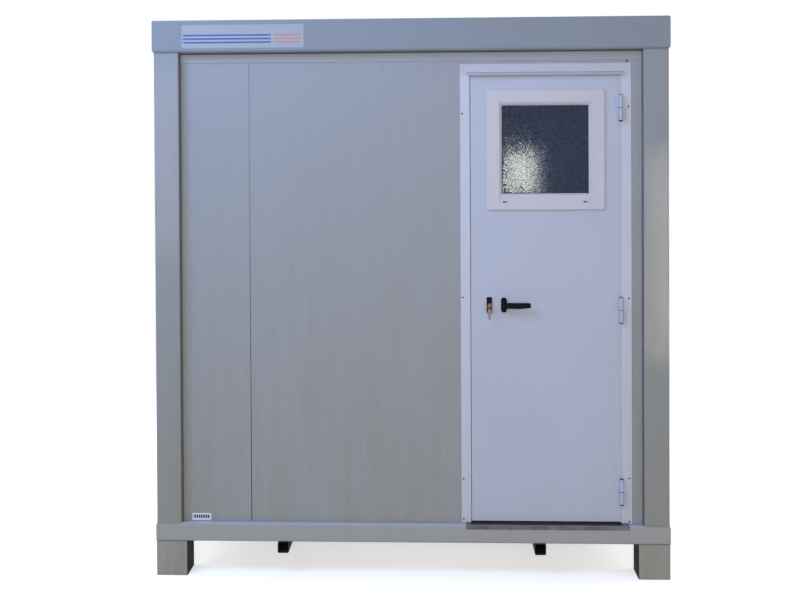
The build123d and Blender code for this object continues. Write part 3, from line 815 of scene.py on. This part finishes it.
class CABIN_OT_add_hinge_caps(bpy.types.Operator):
    """Dark plastic caps on the ends of the hinge barrels, and rings over their splits"""

    bl_idname = "cabin.add_hinge_caps"
    bl_label = "Add Hinge Caps"

    def execute(self, context):
        cap = rubber("hinge_cap_plastic", linear("262C3C"), 0.45)
        radius, half_height = 9.0, 55.0
        end = Vector((0, 0, half_height))
        lower, upper, split = bmesh.new(), bmesh.new(), bmesh.new()
        for height in HINGE_HEIGHTS:
            middle = Vector((HINGE_X, HINGE_Y, height))
            add_disc(lower, middle - end, radius - 0.2, 6.0, UPSIDE_DOWN, 0.8)
            add_disc(upper, middle + end, radius - 0.4, 3.0, UPRIGHT, 0.8)
            # A ring over the split of each barrel, which turns with neither half
            self.add_split_ring(split, middle, radius + 0.1, radius + 0.7, 1.3)
        make_piece("hinge_split_rings", split, cap, CABIN)
        make_piece("hinge_caps_lower", lower, cap, CABIN)
        make_piece("hinge_caps_upper", upper, cap, DOOR)
        return {"FINISHED"}

    def add_split_ring(self, form, centre, inner, outer, half):
        """A thin ring about an upright axis, spun from its section."""
        corners = ((inner, -half), (outer, -half), (outer, half), (inner, half))
        verts = [form.verts.new((centre + Vector((x, 0, z))) * MM) for x, z in corners]
        edges = [form.edges.new((verts[i], verts[i - 1])) for i in range(4)]
        spin_round(form, verts + edges, centre, (0, 0, 1), 40)


class CABIN_OT_add_keys(bpy.types.Operator):
    """Wire ring through the key's hole with a second flat key hanging on it"""

    bl_idname = "cabin.add_keys"
    bl_label = "Add Keys"

    def execute(self, context):
        steel = stainless()
        low, high = millimetres("door_key")
        hole = Vector(((low.x + high.x) / 2, low.y + 6.0, (low.z + high.z) / 2))
        radius = sizes().key_ring / MM
        wire = 0.8
        form = bmesh.new()
        # The ring hangs in an upright plane across the key, so its wire lies in the hole
        middle = hole - Vector((0, 0, radius))
        place = Matrix.Translation(hole * MM) @ Matrix.Rotation(math.radians(90), 4, "Y")
        start = bmesh.ops.create_circle(form, segments=10, radius=wire * MM, matrix=place)["verts"]
        spin_round(form, edges_of(start) + start, middle, (0, 1, 0), 48)
        make_piece("key_ring", form, steel, DOOR)
        # Flat key, turned so that its broad side shows from the front: bow, blade and four bits
        form = bmesh.new()
        bow = middle - Vector((0, 0, radius + 6.0))
        add_disc(form, bow + Vector((0, 0.9, 0)), 9.0, 1.8, FACING_FRONT, 0.4)
        add_bar(form, bow + Vector((-3.5, -0.9, -38.0)), bow + Vector((3.5, 0.9, -6.0)), 0.4)
        for z in (-18.0, -23.0, -28.0, -33.0):
            low, high = Vector((3.0, -0.8, z - 1.6)), Vector((4.6, 0.8, z + 1.6))
            add_bar(form, bow + low, bow + high, 0.3)
        make_piece("spare_key", form, steel, DOOR)
        return {"FINISHED"}


class CABIN_OT_add_label(bpy.types.Operator):
    """Plain plate low on the wall, with a row of bars"""

    bl_idname = "cabin.add_label"
    bl_label = "Add Label"

    def execute(self, context):
        # Printed aluminium plate: white lacquer with plain dark bars of 7.6 mm at every 10 mm
        plate, tree, shader, point = new_finish("lacquered_plate", Roughness=0.4, IOR=1.5)
        cloud = noise(tree, point, 20.0, detail=3.0)
        white = blended(tree, cloud, linear("C9CCD2"), linear("DDDFE4"))
        left, right, bottom, top = -993.0, -907.0, 235.5, 267.0
        band = rectangle_mask(tree, point, left + 5, right - 5, bottom + 9.5, top - 7)
        across = axes(tree, point)["X"]
        away = calculated(tree, "PINGPONG", across, 5.0 * MM)
        bars = calculated(tree, "LESS_THAN", away, 3.8 * MM)
        dark = product(tree, band, bars)
        feed(tree, shader, Base_Color=blended(tree, dark, white, linear("23252C")))
        wall = millimetres("front_wall_left")[0].y
        form = bmesh.new()
        add_bar(form, (left, wall - 1.0, bottom), (right, wall, top), 0.4)
        make_piece("label_plate", form, plate, CABIN)
        return {"FINISHED"}


def add_bead(form, start, end, radius):
    """A weld bead between two points in millimetres, with the ripple that its drops leave."""
    start, end = Vector(start) * MM, Vector(end) * MM
    along = end - start
    turn = along.to_track_quat("Z", "Y").to_matrix().to_4x4()
    place = Matrix.Translation((start + end) / 2) @ turn
    verts = bmesh.ops.create_cone(
        form, cap_ends=True, segments=8, radius1=radius * MM, radius2=radius * MM,
        depth=along.length, matrix=place,
    )["verts"]
    direction = along.normalized()
    sides = [
        edge for edge in edges_of(verts)
        if abs((edge.verts[0].co - edge.verts[1].co).normalized().dot(direction)) > 0.9
    ]
    cuts = max(2, int(along.length / (4 * MM)))
    cut = bmesh.ops.subdivide_edges(form, edges=sides, cuts=cuts, use_grid_fill=True)
    drops, waves = 1.6 * MM, 5.3 * MM
    for vert in {v for v in cut["geom_inner"] if isinstance(v, bmesh.types.BMVert)}:
        travel = (vert.co - start).dot(direction)
        middle = start + direction * travel
        ripple = 1.0 + 0.16 * math.sin(travel / drops) + 0.08 * math.sin(travel / waves + 1.0)
        vert.co = middle + (vert.co - middle) * ripple


class CABIN_OT_add_welds(bpy.types.Operator):
    """Painted weld beads where the posts meet the beams and rails, and the rails the feet"""

    bl_idname = "cabin.add_welds"
    bl_label = "Add Welds"

    def execute(self, context):
        # Bead under powder coat: the frame's colour, a little darker all over as painted shade
        coat = sprayed_paint("powder_coated_weld_in_painted_shade", shade(colours().frame_paint, 0.92), 0.45)[0]
        radius = sizes().weld / MM
        form = bmesh.new()
        for corner in ("front_left", "front_right", "rear_right", "rear_left"):
            low, high = millimetres("corner_post_" + corner)
            foot_low, foot_high = millimetres("foot_" + corner)
            outer_x = high.x if "right" in corner else low.x
            outer_y = low.y if "front" in corner else high.y
            for z in (high.z - 1.0, low.z + 1.0):
                add_bead(form, (low.x + 6, outer_y, z), (high.x - 6, outer_y, z), radius)
                add_bead(form, (outer_x, low.y + 6, z), (outer_x, high.y - 6, z), radius)
            top = foot_high.z - 1.0
            foot_x = foot_high.x if "right" in corner else foot_low.x
            foot_y = foot_low.y if "front" in corner else foot_high.y
            add_bead(form, (foot_low.x + 8, foot_y, top), (foot_high.x - 8, foot_y, top), radius)
            add_bead(form, (foot_x, foot_low.y + 8, top), (foot_x, foot_high.y - 8, top), radius)
        make_piece("frame_welds", form, coat, CABIN)
        return {"FINISHED"}


WHITE = (1.0, 1.0, 1.0, 1.0)


def surface(tree, kind, **inputs):
    """The shader socket of one plain surface or light."""
    return add_node(tree, "ShaderNode" + kind, inputs).outputs[0]


def mixed(tree, factor, a, b):
    """The shader socket between a and b."""
    return add_node(tree, "ShaderNodeMixShader", {0: factor, 1: a, 2: b}).outputs[0]


def add_lamp(name, place, aim, width, height, power, tint, reflected=False):
    """A soft area lamp that points at a place and shows at most in reflections."""
    lamp = bpy.data.lights.new(name, "AREA")
    lamp.shape = "RECTANGLE"
    lamp.size, lamp.size_y = width, height
    lamp.energy = power
    lamp.color = tint
    holder = bpy.data.objects.new(name, lamp)
    bpy.context.scene.collection.objects.link(holder)
    holder.location = place
    holder.rotation_euler = (Vector(aim) - Vector(place)).to_track_quat("-Z", "Y").to_euler()
    holder.visible_camera = False
    holder.visible_glossy = reflected
    holder.visible_transmission = reflected
    return holder


class CABIN_OT_set_stage(bpy.types.Operator):
    """Pale floor, white surround, soft lamps and the camera"""

    bl_idname = "cabin.set_stage"
    bl_label = "Set Stage"

    def execute(self, context):
        scene = context.scene
        studio = scene.cabin_studio
        scene.view_settings.view_transform = "Standard"
        self.add_floor()
        self.light_world(scene, studio.world_level)
        self.add_large_lamps(studio)
        self.add_post_beams()
        # A small bright lamp behind the camera, seen only as the pale patch in the patterned glass
        place, aim = (1.037, -8.5, 1.75), (1.037, -0.7, 1.75)
        warm = linear("FFEEC4")
        add_lamp("reflected_opening", place, aim, 0.345, 0.46, 13.0, warm, reflected=True)
        self.add_camera(scene, studio.camera_lens)
        return {"FINISHED"}

    def add_large_lamps(self, studio):
        """Lamps all round, each with its place, aim, width, height, power and tint."""
        key, sky = studio.key_power, studio.sky_power
        rear, side = studio.rear_power, studio.side_power
        neutral, cool, blue = linear("FFFCF2"), linear("E2EAFF"), linear("9CC4FF")
        for lamp in (
            ("key_lamp", (0.1, -8.5, 1.9), (0.0, -0.7, 1.0), 3.0, 3.0, key, neutral),
            ("sky_lamp", (-2.2, -2.8, 3.8), (-1.0, -0.7, 2.4), 2.0, 1.5, sky, blue),
            ("rear_lamp", (1.2, 6.5, 3.2), (0.0, 0.7, 1.2), 3.0, 3.0, rear, cool),
            ("left_lamp", (-5.5, 0.6, 3.0), (-1.1, 0.0, 1.2), 2.0, 2.0, side, cool),
            ("right_lamp", (5.5, 0.6, 3.0), (1.1, 0.0, 1.2), 2.0, 2.0, side, cool),
        ):
            add_lamp(*lamp)

    def add_post_beams(self):
        """Narrow warm beams that brighten a stretch of each front post and light nothing else."""
        lit_posts = bpy.data.collections.new("posts_in_the_beams")
        for name in nodes_starting("corner_post_front"):
            lit_posts.objects.link(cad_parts[name])
        front, face, width = -2.6, -0.7, 0.14
        for name, x, start, end, height, power, tint in (
            ("right_post_beam", 1.14, 1.47, 1.43, 0.9, 0.24, "FFE2C2"),
            ("left_post_beam", -1.10, 1.88, 1.86, 0.8, 0.09, "FFDCDC"),
        ):
            place, aim = (x, front, start), (x, face, end)
            beam = add_lamp(name, place, aim, width, height, power, linear(tint))
            beam.data.spread = math.radians(6.0)
            beam.light_linking.receiver_collection = lit_posts

    def add_floor(self):
        """A large pale floor that keeps the shadow and is white to the camera elsewhere."""
        form = bmesh.new()
        bmesh.ops.create_grid(form, x_segments=1, y_segments=1, size=60.0)
        mesh = bpy.data.meshes.new("studio_floor")
        form.to_mesh(mesh)
        form.free()
        floor = bpy.data.objects.new("studio_floor", mesh)
        bpy.context.scene.collection.objects.link(floor)
        material = bpy.data.materials.new("matt_studio_floor")
        material.use_nodes = True
        tree = material.node_tree
        tree.nodes.clear()
        bounce = surface(tree, "BsdfDiffuse", Color=rgba(linear("A29C94")))
        matt = surface(tree, "BsdfDiffuse", Color=rgba(linear("F8F2EC")))
        near_glow = surface(tree, "Emission", Color=WHITE, Strength=0.52)
        white = surface(tree, "Emission", Color=WHITE, Strength=1.0)
        lit = add_node(tree, "ShaderNodeAddShader", {0: matt, 1: near_glow}).outputs[0]
        # The shadow fades out with the distance from the cabin, so the floor has no edge
        point = add_node(tree, "ShaderNodeTexCoord").outputs["Object"]
        far = ranged(tree, vector(tree, "LENGTH", point, output="Value"), 2.2, 4.5, 0.0, 1.0)
        path = add_node(tree, "ShaderNodeLightPath").outputs
        seen = calculated(tree, "MAXIMUM", path["Is Camera Ray"], path["Is Glossy Ray"])
        pick = mixed(tree, seen, bounce, mixed(tree, far, lit, white))
        add_node(tree, "ShaderNodeOutputMaterial", {"Surface": pick})
        mesh.materials.append(material)

    def light_world(self, scene, level):
        """White to the camera and in reflections, and an even soft light otherwise."""
        world = bpy.data.worlds.new("studio_world")
        world.use_nodes = True
        scene.world = world
        tree = world.node_tree
        tree.nodes.clear()
        path = add_node(tree, "ShaderNodeLightPath").outputs
        seen = calculated(tree, "MAXIMUM", path["Is Camera Ray"], path["Is Glossy Ray"])
        seen = calculated(tree, "MAXIMUM", seen, path["Is Transmission Ray"])
        soft = surface(tree, "Background", Color=rgba(linear("EEF3FF")), Strength=level)
        pick = mixed(tree, seen, soft, surface(tree, "Background", Color=WHITE, Strength=1.0))
        add_node(tree, "ShaderNodeOutputWorld", {"Surface": pick})

    def add_camera(self, scene, lens):
        """The photograph's view: a little right of the middle, at eye height."""
        yaw, pitch, roll = (math.radians(a) for a in (-2.318, -0.695, -0.292))
        camera = bpy.data.cameras.new("photo_camera")
        camera.lens = lens
        camera.shift_x = 0.007
        camera.shift_y = -0.1494
        holder = bpy.data.objects.new("photo_camera", camera)
        scene.collection.objects.link(holder)
        run = math.cos(pitch)
        ahead = Vector((math.sin(yaw) * run, math.cos(yaw) * run, math.sin(pitch)))
        level = Vector((math.cos(yaw), -math.sin(yaw), 0.0))
        above = level.cross(ahead)
        right = level * math.cos(roll) + above * math.sin(roll)
        up = above * math.cos(roll) - level * math.sin(roll)
        turn = Matrix((right, up, -ahead)).transposed().to_4x4()
        holder.matrix_world = Matrix.Translation((0.135, -5.685, 1.831)) @ turn
        scene.camera = holder


OPERATORS = (
    CABIN_OT_coat_frame,
    CABIN_OT_coat_walls,
    CABIN_OT_finish_roof_and_floor,
    CABIN_OT_finish_door,
    CABIN_OT_finish_window,
    CABIN_OT_finish_fittings,
    CABIN_OT_add_frame_screws,
    CABIN_OT_add_door_seals,
    CABIN_OT_add_shadow_under_beam,
    CABIN_OT_add_threshold_shadow,
    CABIN_OT_add_window_parts,
    CABIN_OT_add_hinge_caps,
    CABIN_OT_add_keys,
    CABIN_OT_add_label,
    CABIN_OT_add_welds,
    CABIN_OT_set_stage,
)


class CABIN_PT_panel(bpy.types.Panel):
    """Lists the steps that dress the cabin"""

    bl_idname = "CABIN_PT_panel"
    bl_label = "Toilet Cabin"
    bl_space_type = "VIEW_3D"
    bl_region_type = "UI"
    bl_category = "Cabin"

    def draw(self, context):
        column = self.layout.column()
        scene = context.scene
        for group in (scene.cabin_colours, scene.cabin_sizes, scene.cabin_studio):
            for name in group.__annotations__:
                column.prop(group, name)
        for operator in OPERATORS:
            column.operator(operator.bl_idname)


CLASSES = (CabinColours, CabinSizes, CabinStudio, *OPERATORS, CABIN_PT_panel)


def register():
    for item in CLASSES:
        bpy.utils.register_class(item)
    bpy.types.Scene.cabin_colours = PointerProperty(type=CabinColours)
    bpy.types.Scene.cabin_sizes = PointerProperty(type=CabinSizes)
    bpy.types.Scene.cabin_studio = PointerProperty(type=CabinStudio)


def unregister():
    del bpy.types.Scene.cabin_studio
    del bpy.types.Scene.cabin_sizes
    del bpy.types.Scene.cabin_colours
    for item in reversed(CLASSES):
        bpy.utils.unregister_class(item)


def main():
    """Dresses the cabin in order."""
    register()
    for operator in OPERATORS:
        step = getattr(bpy.ops.cabin, operator.bl_idname.split(".")[1])
        if step() != {"FINISHED"}:
            raise RuntimeError(operator.bl_idname + " did not finish")


if __name__ == "__main__":
    main()
